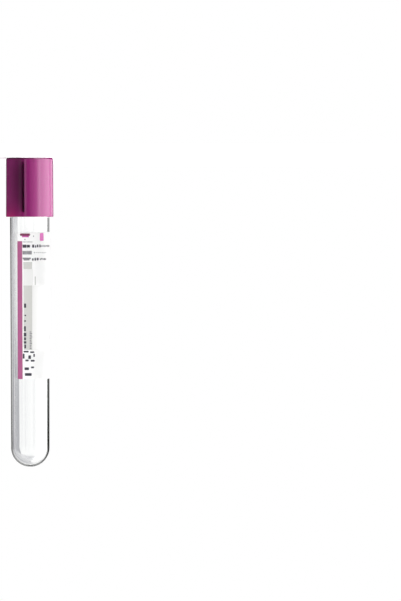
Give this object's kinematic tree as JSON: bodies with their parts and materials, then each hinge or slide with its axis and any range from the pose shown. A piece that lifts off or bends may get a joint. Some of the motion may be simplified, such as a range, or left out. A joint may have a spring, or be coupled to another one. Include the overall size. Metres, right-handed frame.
{
  "type": "blood collection tube",
  "caption": "Clear round-bottomed sample tube with a pull-off purple cap over a pierceable rubber stopper and a white wrap label with a purple band.",
  "frame": {"origin": "middle of the cap's flat top, on which the tube stands on its head", "axes": "+Z along the tube from its cap up to its round end; -Y the way the label's front faces; -X to the right of the label's front as it is read with the cap at the top"},
  "size_m": [0.0158, 0.0158, 0.103],
  "materials": {
    "clear_wall": "gloss",
    "purple_cap": "gloss",
    "grey_rubber": "matte",
    "label_paper": "satin",
    "band_ink": "satin",
    "print_ink": "satin"
  },
  "bodies": {
    "closure": {"cap": "purple_cap", "stopper": "grey_rubber"},
    "vessel": {"tube": "clear_wall", "label": "label_paper", "label_band": "band_ink", "label_print": "print_ink"}
  },
  "joints": [
    {"name": "closure_pull", "type": "slide", "parent": "closure", "child": "vessel", "axis": [0, 0, 1], "range_m": [0, 0.04]}
  ]
}
